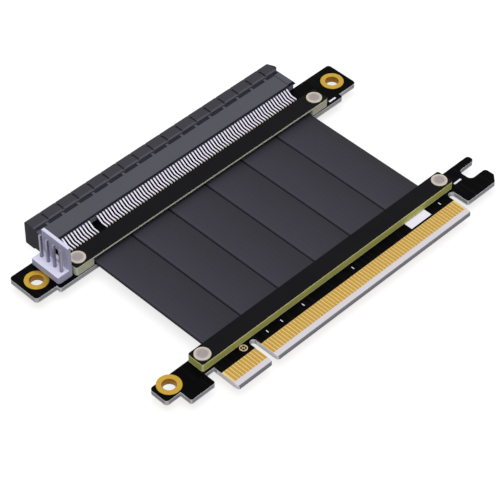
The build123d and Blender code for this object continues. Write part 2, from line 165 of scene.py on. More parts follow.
class ShaderGraph:
    """A thin helper that adds and joins the nodes of one shader tree."""

    def __init__(self, tree: ShaderTree) -> None:
        """Keep the tree that the nodes go into."""
        self.tree = tree

    def add(self, kind: str, inputs: dict | None = None, **settings: object) -> ShaderNode:
        """Add one node.

        Args:
            kind: The node's type name.
            inputs: Values or output sockets for its inputs, by name or index.
            settings: Attributes of the node, such as its operation.

        Returns:
            The new node.
        """
        node = self.tree.nodes.new(kind)
        for name, value in settings.items():
            setattr(node, name, value)
        for key, value in (inputs or {}).items():
            self.feed(node.inputs[key], value)
        return node

    def feed(self, socket: Socket, value: object) -> None:
        """Link or set a socket.

        Args:
            socket: The input to feed.
            value: An output to link to it, or a value for it to hold.
        """
        if isinstance(value, Socket):
            self.tree.links.new(value, socket)
        else:
            socket.default_value = value

    def math(self, operation: str, first: object, second: object = 0.0) -> Socket:
        """Add a math node and give its result."""
        return self.add("ShaderNodeMath", {0: first, 1: second}, operation=operation).outputs[0]

    def remap(
        self, value: Socket, low: object, high: object, start: float = 0.0, end: float = 1.0
    ) -> Socket:
        """Stretch the range from low to high over the range from start to end, and clamp it."""
        return self.add("ShaderNodeMapRange", {0: value, 1: low, 2: high, 3: start, 4: end}).outputs[0]

    def mix(self, factor: object, first: object, second: object, blend: str = "MIX") -> Socket:
        """Put a second colour over a first one and give the result."""
        inputs = {0: factor, 6: first, 7: second}
        return self.add("ShaderNodeMix", inputs, data_type="RGBA", blend_type=blend).outputs[2]

    def times(self, colour: object, factor: Socket) -> Socket:
        """Brighten or darken a colour by a factor."""
        return self.mix(1.0, colour, factor, "MULTIPLY")

    def group(self, tree: ShaderTree, inputs: dict) -> ShaderNode:
        """Place a node group with its own values."""
        return self.add("ShaderNodeGroup", inputs, node_tree=tree)

    def point(self) -> Socket:
        """The point on the object, in metres."""
        return self.add("ShaderNodeTexCoord").outputs["Object"]

    def place(self) -> ShaderNode:
        """The point on the object, split into X, Y and Z in metres."""
        return self.add("ShaderNodeSeparateXYZ", {0: self.point()})

    def noise(self, scale: object, detail: float) -> Socket:
        """Add noise that is drawn out along the axes.

        Args:
            scale: How fine it is along X, Y and Z, in spots a metre.
            detail: How many finer layers it has.

        Returns:
            The noise, mostly from 0.3 to 0.7.
        """
        drawn = self.add("ShaderNodeMapping", {"Vector": self.point(), "Scale": scale})
        inputs = {"Vector": drawn.outputs[0], "Scale": 1.0, "Detail": detail}
        return self.add("ShaderNodeTexNoise", inputs).outputs[0]


class Effects:
    """The shader effects that several finishes share, each built once as a node group."""

    BROAD_SHARE = 0.06  # the scale of the grain's broad layer as a share of the fine one's
    FIBRE_SCALE = (350.0, 350.0, 5200.0)
    FIBRE_TONES = (0.82, 1.1)
    CORNER_TURN = (0.1, 0.4)
    # how far the rounded corners go towards the skin colour: a painted highlight
    CORNER_HIGHLIGHT = 0.75
    UPRIGHT = 0.6  # a normal that rises less than this belongs to a side

    @staticmethod
    def start(name: str, inputs: dict[str, tuple[str, object]], outputs: dict[str, str]) -> tuple:
        """Begin a node group.

        Args:
            name: The group's name.
            inputs: Socket kind and default value by name.
            outputs: Socket kind by name.

        Returns:
            The group, its graph, the sockets that it is given and those that it fills.
        """
        tree = bpy.data.node_groups.new(name, "ShaderNodeTree")
        for label, (kind, value) in inputs.items():
            socket = tree.interface.new_socket(name=label, in_out="INPUT", socket_type=kind)
            socket.default_value = value
        for label, kind in outputs.items():
            tree.interface.new_socket(name=label, in_out="OUTPUT", socket_type=kind)
        graph = ShaderGraph(tree)
        return tree, graph, graph.add("NodeGroupInput").outputs, graph.add("NodeGroupOutput").inputs

    @staticmethod
    @cache
    def band() -> ShaderTree:
        """Build a mask that is 1 between two values and fades over a soft edge.

        Returns:
            The node group.
        """
        inputs = {
            "Value": (NUMBER, 0.0), "Low": (NUMBER, 0.0), "High": (NUMBER, 1.0), "Soft": (NUMBER, 0.01)
        }
        tree, graph, given, result = Effects.start("band", inputs, {"Mask": NUMBER})
        steps = []
        for edge in ("Low", "High"):
            start = graph.math("SUBTRACT", given[edge], given["Soft"])
            end = graph.math("ADD", given[edge], given["Soft"])
            steps.append(graph.remap(given["Value"], start, end))
        falling = graph.math("SUBTRACT", 1.0, steps[1])
        graph.feed(result["Mask"], graph.math("MULTIPLY", steps[0], falling))
        return tree

    @staticmethod
    def between(graph: ShaderGraph, value: Socket, low: float, high: float, soft: float) -> Socket:
        """Place the band effect and give its mask."""
        inputs = {"Value": value, "Low": low, "High": high, "Soft": soft}
        return graph.group(Effects.band(), inputs).outputs["Mask"]

    @staticmethod
    @cache
    def grain() -> ShaderTree:
        """Build fine moulded or printed grain: a brightness factor near 1 and a height.

        Returns:
            The node group.
        """
        inputs = {"Scale": (NUMBER, 2000.0), "Contrast": (NUMBER, 0.1)}
        outputs = {"Factor": NUMBER, "Height": NUMBER}
        tree, graph, given, result = Effects.start("grain", inputs, outputs)
        broad = graph.math("MULTIPLY", given["Scale"], Effects.BROAD_SHARE)
        layers = []
        for scale, detail in ((given["Scale"], 3.0), (broad, 1.0)):
            layer = {"Vector": graph.point(), "Scale": scale, "Detail": detail}
            layers.append(graph.add("ShaderNodeTexNoise", layer).outputs[0])
        swing = graph.math("SUBTRACT", graph.math("ADD", *layers), 1.0)
        factor = graph.math("ADD", graph.math("MULTIPLY", swing, given["Contrast"]), 1.0)
        graph.feed(result["Factor"], factor)
        graph.feed(result["Height"], layers[0])
        return tree

    @staticmethod
    def grained(graph: ShaderGraph, scale: float, contrast: float) -> tuple[Socket, Socket]:
        """Place the grain effect and give its factor and its height."""
        grain = graph.group(Effects.grain(), {"Scale": scale, "Contrast": contrast}).outputs
        return grain["Factor"], grain["Height"]

    @staticmethod
    @cache
    def laminate() -> ShaderTree:
        """Build the cut side of glass-fibre laminate: a fibrous core, two skins and a painted highlight on
        the rounded corners.

        Returns:
            The node group. Its Side is 1 on upright faces and 0 on level ones.
        """
        inputs = {
            "Bottom": (NUMBER, 0.0),
            "Thickness": (NUMBER, 1.6 * MM),
            "Core": (COLOUR, (0.5, 0.5, 0.5, 1.0)),
            "Skin": (COLOUR, (0.8, 0.8, 0.8, 1.0)),
            "Skin share": (NUMBER, 0.12),
        }
        tree, graph, given, result = Effects.start("laminate", inputs, {"Color": COLOUR, "Side": NUMBER})
        depth = graph.math("SUBTRACT", graph.place().outputs[2], given["Bottom"])
        share = graph.math("DIVIDE", depth, given["Thickness"])
        from_middle = graph.math("ABSOLUTE", graph.math("SUBTRACT", share, 0.5))
        skin = graph.math("GREATER_THAN", from_middle, graph.math("SUBTRACT", 0.5, given["Skin share"]))
        fibres = graph.noise(Effects.FIBRE_SCALE, 3.0)
        tone = graph.remap(fibres, *NOISE_RANGE, *Effects.FIBRE_TONES)
        geometry = graph.add("ShaderNodeNewGeometry")
        normal = graph.add("ShaderNodeSeparateXYZ", {0: geometry.outputs["Normal"]}).outputs
        # painted highlight on rounded corners, where the normal turns between X and Y
        turned = graph.math("ABSOLUTE", graph.math("MULTIPLY", normal[0], normal[1]))
        corner = graph.remap(turned, *Effects.CORNER_TURN, 0.0, Effects.CORNER_HIGHLIGHT)
        pale = graph.math("MAXIMUM", skin, corner)
        core = graph.times(given["Core"], tone)
        graph.feed(result["Color"], graph.mix(pale, core, given["Skin"]))
        level = graph.math("ABSOLUTE", normal[2])
        graph.feed(result["Side"], graph.math("LESS_THAN", level, Effects.UPRIGHT))
        return tree

    @staticmethod
    @cache
    def brushed() -> ShaderTree:
        """Build fine scratches drawn out along one axis: a brightness factor and a height.

        Returns:
            The node group.
        """
        inputs = {"Scale": (VECTOR, (400.0, 4000.0, 400.0)), "Contrast": (NUMBER, 0.15)}
        outputs = {"Factor": NUMBER, "Height": NUMBER}
        tree, graph, given, result = Effects.start("brushed", inputs, outputs)
        lines = graph.noise(given["Scale"], 4.0)
        swing = graph.math("MULTIPLY", graph.math("SUBTRACT", lines, 0.5), given["Contrast"])
        graph.feed(result["Factor"], graph.math("ADD", swing, 1.0))
        graph.feed(result["Height"], lines)
        return tree


def new_material(name: str) -> tuple[Material, ShaderGraph]:
    """Make an empty node material.

    Args:
        name: The material's name.

    Returns:
        The material and its graph.
    """
    material = bpy.data.materials.new(name)
    material.use_nodes = True
    material.node_tree.nodes.clear()
    return material, ShaderGraph(material.node_tree)


@dataclass(frozen=True)
class Surface:
    """The plain numbers of a finish's shader."""

    roughness: float = 0.5
    metallic: float = 0.0
    specular: float = 0.5
    bump: float = 0.0
    bump_depth: float = 0.02 * MM


@dataclass(frozen=True, kw_only=True)
class Finish:
    """One procedural finish. Each kind gives its own colour and height."""

    name: str
    surface: Surface = Surface()

    def look(self, graph: ShaderGraph) -> tuple[Socket, Socket]:
        """Give the colour and the height of the surface."""
        raise NotImplementedError

    def material(self) -> Material:
        """Build the finish.

        Returns:
            The new material.
        """
        material, graph = new_material(self.name)
        colour, height = self.look(graph)
        inputs = {
            "Base Color": colour,
            "Roughness": self.surface.roughness,
            "Metallic": self.surface.metallic,
            "Specular IOR Level": self.surface.specular,
        }
        shader = graph.add("ShaderNodeBsdfPrincipled", inputs)
        if self.surface.bump > 0:
            inputs = {"Strength": self.surface.bump, "Distance": self.surface.bump_depth, "Height": height}
            graph.feed(shader.inputs["Normal"], graph.add("ShaderNodeBump", inputs).outputs[0])
        graph.add("ShaderNodeOutputMaterial", {"Surface": shader.outputs[0]})
        return material


@dataclass(frozen=True, kw_only=True)
class LaminateFinish(Finish):
    """Glass-fibre laminate with a covered top and bottom and bare cut sides."""

    node: str
    core: Colour
    skin: Colour
    skin_share: float

    def cut(self, graph: ShaderGraph) -> bpy.types.bpy_prop_collection:
        """Place the laminate effect.

        Args:
            graph: The material's graph.

        Returns:
            The effect's sockets, the cut's colour and the mask of the sides.
        """
        box = NodeBox(self.node)
        inputs = {
            "Bottom": box.low.z,
            "Thickness": box.size.z,
            "Core": self.core,
            "Skin": self.skin,
            "Skin share": self.skin_share,
        }
        return graph.group(Effects.laminate(), inputs).outputs


@dataclass(frozen=True, kw_only=True)
class BoardFinish(LaminateFinish):
    """Black solder mask over faint copper runs on both faces, and bare grey laminate on the cut sides."""

    mask: Colour = screen(5, 5, 6)
    trace: Colour = screen(20, 20, 22)
    core: Colour = screen(190, 190, 194)
    skin: Colour = screen(236, 235, 240)
    skin_share: float = 0.16
    run_scale: Point = (1000.0, 90.0, 1.0)
    run_edge: Flat = (0.5, 0.62)
    run_strength: float = 0.35
    scale: float = 2600.0
    contrast: float = 0.25
    surface: Surface = Surface(roughness=0.42, specular=0.02, bump=0.35)

    def regions(self, graph: ShaderGraph, face: Socket, cut: Socket) -> tuple[Socket, Socket]:
        """Give the faces' colour and the cut sides' colour, with what is special to this board."""
        return face, cut

    def look(self, graph: ShaderGraph) -> tuple[Socket, Socket]:
        """Mask the faces and bare the sides.

        Args:
            graph: The material's graph.

        Returns:
            The colour and the height.
        """
        runs = graph.remap(graph.noise(self.run_scale, 2.0), *self.run_edge)
        factor, height = Effects.grained(graph, self.scale, self.contrast)
        lit = graph.mix(graph.math("MULTIPLY", runs, self.run_strength), self.mask, self.trace)
        side = self.cut(graph)
        face, cut = self.regions(graph, graph.times(lit, factor), side["Color"])
        return graph.mix(side["Side"], face, cut), graph.math("ADD", runs, height)


@dataclass(frozen=True, kw_only=True)
class TongueBoardFinish(BoardFinish):
    """The plug board's finish: cream laminate between the fingers, a pale bevel, a grey tip and a painted
    highlight on the tongue's cut sides.
    """

    core: Colour = screen(178, 178, 183)
    between: Colour = screen(224, 198, 142)
    bevel: Colour = screen(210, 206, 211)
    rim: Colour = screen(112, 113, 120)
    tip: Colour = screen(150, 151, 158)
    tongue_side_highlight: Colour = screen(250, 250, 253)
    half_width: float = 42.65 * MM
    bevel_reach: float = 1.86 * MM
    finger_reach: float = 6.04 * MM
    tongue_reach: float = 7.6 * MM
    rim_reach: float = 0.4 * MM
    tip_reach: float = 0.08 * MM
    soft: float = 0.03 * MM

    def regions(self, graph: ShaderGraph, face: Socket, cut: Socket) -> tuple[Socket, Socket]:
        """Paint the tongue. Every reach counts from its tip.

        Args:
            graph: The material's graph.
            face: The faces' colour so far.
            cut: The cut sides' colour so far.

        Returns:
            Both colours with the tongue's own.
        """
        across, along, _ = graph.place().outputs
        start = NodeBox(self.node).low.y
        on_tongue = graph.math("LESS_THAN", graph.math("ABSOLUTE", across), self.half_width)
        bevel_end = start + self.bevel_reach
        fields = ((bevel_end, start + self.finger_reach, self.between), (start - MM, bevel_end, self.bevel))
        for low, high, colour in fields:
            field = Effects.between(graph, along, low, high, self.soft)
            face = graph.mix(graph.math("MULTIPLY", field, on_tongue), face, colour)
        face = graph.mix(graph.math("LESS_THAN", along, start + self.rim_reach), face, self.rim)
        beside = graph.math("MULTIPLY", on_tongue, graph.math("LESS_THAN", along, start + self.tongue_reach))
        # painted highlight: the cut sides beside the tongue are near white
        cut = graph.mix(beside, cut, self.tongue_side_highlight)
        return face, graph.mix(graph.math("LESS_THAN", along, start + self.tip_reach), cut, self.tip)


@dataclass(frozen=True, kw_only=True)
class BarFinish(LaminateFinish):
    """A clamp bar cut from thick laminate: black mask above and below, coloured cut sides whose pale skins
    also carry a painted edge highlight.
    """

    top: Colour = screen(21, 21, 24)
    # the skin band is the laminate's outer layers and also carries a painted highlight along the top and
    # bottom edges
    skin_share: float = 0.11
    scale: float = 2200.0
    contrast: float = 0.3
    surface: Surface = Surface(roughness=0.38, specular=0.03, bump=0.25)

    def look(self, graph: ShaderGraph) -> tuple[Socket, Socket]:
        """Mask the faces and bare the sides.

        Args:
            graph: The material's graph.

        Returns:
            The colour and the height.
        """
        factor, height = Effects.grained(graph, self.scale, self.contrast)
        side = self.cut(graph)
        return graph.mix(side["Side"], graph.times(self.top, factor), side["Color"]), height


@dataclass(frozen=True, kw_only=True)
class MouldedFinish(Finish):
    """Moulded plastic with a fine grain."""

    colour: Colour
    surface: Surface = Surface(roughness=0.5, specular=0.25, bump=0.3)
    scale: float = 1800.0
    contrast: float = 0.12

    def tint(self, graph: ShaderGraph) -> object:
        """The plain colour, or a socket with the regions of a moulding."""
        return self.colour

    def look(self, graph: ShaderGraph) -> tuple[Socket, Socket]:
        """Give the tint its grain.

        Args:
            graph: The material's graph.

        Returns:
            The colour and the height.
        """
        factor, height = Effects.grained(graph, self.scale, self.contrast)
        return graph.times(self.tint(graph), factor), height


@dataclass(frozen=True, kw_only=True)
class InletFinish(MouldedFinish):
    """The power header's moulding, with painted shade on its upright faces."""

    # painted shade on the upright faces
    upright: Colour = screen(194, 193, 220)

    def tint(self, graph: ShaderGraph) -> object:
        """The pale plastic, darkened with painted shade on upright faces."""
        side = graph.group(Effects.laminate(), {}).outputs["Side"]
        return graph.mix(side, self.colour, self.upright)


@dataclass(frozen=True)
class Flange:
    """The sizes of the housing's flange, of the ribbed groove behind it and of its notches."""

    depth: float = 3.65 * MM
    groove: float = 0.9 * MM
    first_notch_x: float = -39.25 * MM
    pitch: float = 5.29 * MM
    notches: int = 16
    notch_width: float = 0.6 * MM
    notch_depth: float = 0.5 * MM
    notch_reach: float = 2.6 * MM
    mouth_chamfer: float = 0.3 * MM
    rib_start: float = 0.78
    rib_end: float = 0.94


@dataclass(frozen=True, kw_only=True)
class HousingFinish(MouldedFinish):
    """The socket's moulding: a greyer plate, a ribbed groove and a darker flange along the mouth, with
    painted shade in the groove, on the rear edge and on the ends, painted light on the rear face and a
    painted highlight on the flange's rear edge.
    """

    flange: Flange
    node: str = "socket_housing"
    flange_colour: Colour = screen(61, 60, 66)
    # painted shade in the groove behind the flange
    groove_shade_colour: Colour = screen(42, 41, 50)
    # painted highlight along the flange's rear edge
    lip_highlight_colour: Colour = screen(86, 85, 94)
    # painted light on the rear face, which the contacts and bar shade
    rear_face_light_colour: Colour = screen(122, 122, 137)
    # painted shade line along the plate's rear edge
    rear_edge_shade_colour: Colour = screen(34, 33, 46)
    # painted shade on both end faces
    end_shade_colour: Colour = screen(38, 37, 42)
    half_width: float = 44.35 * MM
    lip_width: float = 0.4 * MM
    rear_reach: float = 0.25 * MM
    rear_face_height: float = 5.0 * MM
    soft: float = 0.05 * MM
    rib_soft: float = 0.02

    def tint(self, graph: ShaderGraph) -> Socket:
        """Lay the painted shade of the rear edge, the painted light of the rear face, the painted shade of
        the groove, the flange, the painted highlight of its lip and the painted shade of the ends over the
        plate.

        Args:
            graph: The material's graph.

        Returns:
            The socket with the colour.
        """
        box, sizes, soft = NodeBox(self.node), self.flange, self.soft
        across, along, up = graph.place().outputs
        turns = graph.math("DIVIDE", graph.math("SUBTRACT", across, sizes.first_notch_x), sizes.pitch)
        phase = graph.math("FRACT", turns)
        height = graph.math("ABSOLUTE", graph.math("SUBTRACT", up, box.centre.z))
        flange_y = box.high.y - sizes.depth
        groove_y = flange_y - sizes.groove

        rib = Effects.between(graph, phase, sizes.rib_start, sizes.rib_end, self.rib_soft)
        face = Effects.between(graph, height, -FAR, self.rear_face_height / 2, soft)
        rear = Effects.between(graph, along, box.low.y - MM, box.low.y + self.rear_reach, soft)
        groove = Effects.between(graph, along, groove_y, flange_y - soft, soft)
        flange = Effects.between(graph, along, flange_y, FAR, soft)
        lip = Effects.between(graph, along, flange_y + soft, flange_y + self.lip_width, soft)
        end = Effects.between(graph, graph.math("ABSOLUTE", across), self.half_width - 2 * soft, FAR, soft)

        colour = self.colour
        for mask, shade in (
            # painted shade line along the rear edge
            (rear, self.rear_edge_shade_colour),
            # painted light on the rear face
            (graph.math("MULTIPLY", rear, face), self.rear_face_light_colour),
            # painted shade in the groove, left off the ribs
            (graph.math("MULTIPLY", groove, graph.math("SUBTRACT", 1.0, rib)), self.groove_shade_colour),
            (flange, self.flange_colour),
            # painted highlight along the flange's rear edge
            (lip, self.lip_highlight_colour),
            # painted shade on both end faces
            (end, self.end_shade_colour),
        ):
            colour = graph.mix(mask, colour, shade)
        return colour


@dataclass(frozen=True, kw_only=True)
class MetalFinish(Finish):
    """Bare or plated metal with fine drawn-out scratches."""

    colour: Colour
    surface: Surface = Surface(roughness=0.28, metallic=1.0, bump=0.2)
    scale: Point = (400.0, 4000.0, 400.0)
    contrast: float = 0.18

    def tint(self, graph: ShaderGraph) -> object:
        """The plain colour, or a socket with the regions of a turned piece."""
        return self.colour

    def look(self, graph: ShaderGraph) -> tuple[Socket, Socket]:
        """Scratch the tint.

        Args:
            graph: The material's graph.

        Returns:
            The colour and the height.
        """
        inputs = {"Scale": self.scale, "Contrast": self.contrast}
        brushed = graph.group(Effects.brushed(), inputs).outputs
        return graph.times(self.tint(graph), brushed["Factor"]), brushed["Height"]


@dataclass(frozen=True, kw_only=True)
class TurnedFinish(MetalFinish):
    """Turned metal with one tone near its axis and another outside it."""

    node: str
    crown: Colour = screen(167, 155, 156)
    colour: Colour = screen(207, 199, 181)
    crown_radius: float = 1.55 * MM
    soft: float = 0.35 * MM
    surface: Surface = Surface(roughness=0.42, metallic=0.85, bump=0.25)
    scale: Point = (900.0, 2600.0, 900.0)
    contrast: float = 0.3

    def tint(self, graph: ShaderGraph) -> Socket:
        """Lay the crown's tone round the axis.

        Args:
            graph: The material's graph.

        Returns:
            The socket with the colour.
        """
        squares = []
        for place, axis in zip(graph.place().outputs, NodeBox(self.node).centre.xy):
            away = graph.math("SUBTRACT", place, axis)
            squares.append(graph.math("MULTIPLY", away, away))
        radius = graph.math("SQRT", graph.math("ADD", *squares))
        middle = Effects.between(graph, radius, -FAR, self.crown_radius, self.soft)
        return graph.mix(middle, self.colour, self.crown)


@dataclass(frozen=True, kw_only=True)
class RibbonFinish(Finish):
    """A charcoal ribbon jacket: painted shade from a paler lit side to a darker side, a painted lit edge
    beside each seam, soft ridges.
    """

    node: str
    # painted light and shade: the paler colour is each ribbon's lit side, the next one its shaded side
    pale: Colour = screen(57, 56, 65)
    shaded_side: Colour = screen(44, 43, 50)
    edge: Colour = screen(24, 23, 30)
    lit_edge: Colour = screen(61, 60, 69)
    wire_pitch: float = 1.5 * MM
    ridge_height: float = 0.1
    lit_place: Flat = (0.45 * MM, 0.75 * MM)
    lit_soft: float = 0.1 * MM
    seam_width: float = 0.18 * MM
    seam_soft: float = 0.07 * MM
    cloud_scale: Point = (160.0, 14.0, 1.0)
    cloud_swing: float = 0.06
    scale: float = 1500.0
    contrast: float = 0.12
    surface: Surface = Surface(roughness=0.46, specular=0.12, bump=0.3)

    def look(self, graph: ShaderGraph) -> tuple[Socket, Socket]:
        """Paint shade across the jacket from its lit side to its shaded side, and line its edges.

        Args:
            graph: The material's graph.

        Returns:
            The colour and the height.
        """
        box = NodeBox(self.node)
        half = box.size.x / 2
        across = graph.math("SUBTRACT", graph.place().outputs[0], box.centre.x)
        ridge = graph.math("COSINE", graph.math("MULTIPLY", across, 2 * math.pi / self.wire_pitch))
        noise = graph.noise(self.cloud_scale, 2.0)
        cloud = graph.remap(noise, *NOISE_RANGE, -self.cloud_swing, self.cloud_swing)
        share = graph.math("ADD", graph.remap(across, half, -half), cloud)
        factor, fine = Effects.grained(graph, self.scale, self.contrast)
        # painted shade across each ribbon, paler on its lit side
        colour = graph.times(graph.mix(share, self.shaded_side, self.pale), factor)
        start, end = (reach - half for reach in self.lit_place)
        colour = graph.mix(Effects.between(graph, across, start, end, self.lit_soft), colour, self.lit_edge)
        side = graph.math("ABSOLUTE", across)
        seam = Effects.between(graph, side, half - self.seam_width, FAR, self.seam_soft)
        height = graph.math("ADD", graph.math("MULTIPLY", ridge, self.ridge_height), fine)
        return graph.mix(seam, colour, self.edge), height


def to_piece(
    name: str,
    shape: Shape,
    material: Material,
    replaces: tuple[str, ...] = (),
    smooth_angle: float = 35.0,
) -> bpy.types.Object:
    """Turn a built shape into a piece that rides on the frame.

    Args:
        name: The piece's name.
        shape: The built shape, which is freed.
        material: Its finish.
        replaces: The solids that it stands for.
        smooth_angle: Faces that meet at less than this many degrees are shaded as one.

    Returns:
        The new object.
    """
    bmesh.ops.recalc_face_normals(shape, faces=shape.faces)
    mesh = bpy.data.meshes.new(name)
    shape.to_mesh(mesh)
    shape.free()
    mesh.shade_smooth()
    mesh.set_sharp_from_angle(angle=math.radians(smooth_angle))
    mesh.materials.append(material)
    piece = bpy.data.objects.new(name, mesh)
    bpy.context.scene.collection.objects.link(piece)
    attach(piece, ROOT)
    if replaces:
        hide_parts(*replaces)
    LOG.info("built %s with %d faces", name, len(mesh.polygons))
    return piece


def softened(node: str, material: Material, radius: float) -> None:
    """Copy a solid with its crisp edges broken by a small radius, and let the copy stand for it.

    Args:
        node: The solid's name.
        material: Its finish.
        radius: The edge radius in metres.
    """
    shape = bmesh.new()
    shape.from_mesh(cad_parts[node].data)
    bmesh.ops.remove_doubles(shape, verts=shape.verts, dist=WELD)
    bmesh.ops.dissolve_limit(
        shape,
        angle_limit=FLAT_ANGLE,
        verts=shape.verts,
        edges=shape.edges,
        use_dissolve_boundaries=False,
    )
    edge = to_piece(node + "_form", shape, material, (node,)).modifiers.new("broken_edges", "BEVEL")
    edge.width = radius
    edge.segments = 2
    edge.limit_method = "ANGLE"
    edge.angle_limit = CRISP_ANGLE
    edge.harden_normals = True
    edge.use_clamp_overlap = True


def dress(node: str, material: Material) -> None:
    """Give a carried-over solid its finish.

    Args:
        node: The solid's name.
        material: Its finish.
    """
    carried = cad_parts[node]
    carried.data.materials.clear()
    carried.data.materials.append(material)
    LOG.info("dressed %s", node)


def join_loops(shape: Shape, loops: list[list[Point]]) -> None:
    """Add a closed form that joins loops of points in turn and caps both ends.

    Args:
        shape: The shape that gets the faces.
        loops: The loops, all with the same number of points.
    """
    rings = [[shape.verts.new(point) for point in loop] for loop in loops]
    for ring, other in zip(rings, rings[1:]):
        for corner in range(len(ring)):
            nearby = (corner + 1) % len(ring)
            shape.faces.new((ring[corner], ring[nearby], other[nearby], other[corner]))
    shape.faces.new(rings[0][::-1])
    shape.faces.new(rings[-1])


def lathe(shape: Shape, outline: list[Flat], centre: Point, steps: int = 64) -> None:
    """Turn a closed outline of (radius, height) points about an upright axis.

    Args:
        shape: The shape that gets the faces.
        outline: The outline, which may touch the axis.
        centre: The axis's X and Y, and the height that the outline counts from.
        steps: How many flats the turn has.
    """
    turns = [2 * math.pi * step / steps for step in range(steps)]
    rings = []
    for radius, height in outline:
        ring = [
            (centre[0] + radius * math.cos(turn), centre[1] + radius * math.sin(turn), centre[2] + height)
            for turn in (turns if radius > 0 else turns[:1])
        ]
        rings.append([shape.verts.new(place) for place in ring])
    for ring, other in zip(rings, rings[1:] + rings[:1]):
        if len(ring) == 1 and len(other) == 1:
            continue
        for step in range(steps):
            nearby = (step + 1) % steps
            corners = [ring[step % len(ring)], ring[nearby % len(ring)]]
            corners += [other[nearby % len(other)], other[step % len(other)]]
            shape.faces.new(list(dict.fromkeys(corners)))


def arc(centre: Flat, radius: float, start: float, end: float, steps: int = 6) -> list[Flat]:
    """Find points along an arc.

    Args:
        centre: The arc's centre.
        radius: Its radius.
        start: The angle of the first point, in degrees.
        end: The angle of the last one.
        steps: How many flats it has.

    Returns:
        The points, both ends with them.
    """
    turns = [math.radians(start + (end - start) * step / steps) for step in range(steps + 1)]
    return [(centre[0] + radius * math.cos(turn), centre[1] + radius * math.sin(turn)) for turn in turns]


def add_block(shape: Shape, low: Point, high: Point, taper: float = 0.0) -> None:
    """Add a block whose upper face is drawn in on every side.

    Args:
        shape: The shape that gets the faces.
        low: The block's lowest corner.
        high: Its highest corner, before the upper face is drawn in.
        taper: How far each side of the upper face comes in.
    """
    loops = []
    for height, draw in ((low[2], 0.0), (high[2], taper)):
        left, right, front, back = low[0] + draw, high[0] - draw, low[1] + draw, high[1] - draw
        corners = ((left, front), (right, front), (right, back), (left, back))
        loops.append([(*corner, height) for corner in corners])
    join_loops(shape, loops)


def bent_line(points: list[Flat], radius: float, steps: int = 4, most: float = 0.45) -> list[Flat]:
    """Round the inner corners of a bent strip's middle line.

    Args:
        points: The line's corners.
        radius: The bending radius.
        steps: How many flats a bend has.
        most: How much of the run before it a bend may take.

    Returns:
        The line with each bend as a short arc.
    """
    line = [points[0]]
    for before, corner, after in zip(points, points[1:], points[2:]):
        middle = Vector(corner)
        back = (Vector(before) - middle).normalized()
        ahead = (Vector(after) - middle).normalized()
        half = back.angle(ahead) / 2
        reach = min(radius / math.tan(half), most * (Vector(before) - middle).length)
        start, end = middle + back * reach, middle + ahead * reach
        for step in range(steps + 1):
            share = step / steps
            bend = start * (1 - share) ** 2 + middle * 2 * share * (1 - share) + end * share**2
            line.append((bend.x, bend.y))
    line.append(points[-1])
    return line


def add_strip(shape: Shape, line: list[Flat], x: float, width: float, depth: float) -> None:
    """Add a bent flat strip that follows a line in the YZ plane.

    Args:
        shape: The shape that gets the faces.
        line: The middle line, as (Y, Z) points.
        x: The strip's middle in X.
        width: Its width along X.
        depth: Its thickness.
    """
    corners = ((-width / 2, 1), (width / 2, 1), (width / 2, -1), (-width / 2, -1))
    loops = []
    for index, (y, z) in enumerate(line):
        before, after = Vector(line[max(index - 1, 0)]), Vector(line[min(index + 1, len(line) - 1)])
        along = (after - before).normalized()
        side = Vector((-along.y, along.x)) * depth / 2
        loops.append([(x + offset, y + sign * side.x, z + sign * side.y) for offset, sign in corners])
    join_loops(shape, loops)


@dataclass
class Eyelet:
    """A gold eyelet rolled over both faces of its board."""

    node: str
    bore: float = 1.7 * MM
    barrel: float = 1.98 * MM
    flange: float = 3.25 * MM
    rim: float = 0.12 * MM
    mouth: float = 0.35 * MM
    half_board: float = 0.8 * MM

    def build(self) -> None:
        """Build the eyelet and let it stand for its solid."""
        centre = NodeBox(self.node).centre
        top = NodeBox(self.node).high.z - centre.z
        outline = [(self.bore, 0.0)]
        outline += arc((self.bore + self.mouth, top - self.mouth), self.mouth, 180, 90)
        outline += arc((self.flange - self.rim, top - self.rim), self.rim, 90, 0)
        outline += [(self.flange, self.half_board), (self.barrel, self.half_board)]
        outline += [(radius, -height) for radius, height in reversed(outline[1:])]
        shape = bmesh.new()
        lathe(shape, outline, centre)
        finish = TurnedFinish(
            name=self.node + "_gold",
            node=self.node,
            # painted shade in the bore: a dark gold inside the mouth's radius
            crown=screen(146, 100, 24),
            colour=screen(204, 164, 58),
            crown_radius=self.bore + self.mouth / 2,
            soft=0.08 * MM,
            surface=Surface(roughness=0.4, metallic=0.85, bump=0.15),
        )
        to_piece(self.node + "_form", shape, finish.material(), (self.node,))


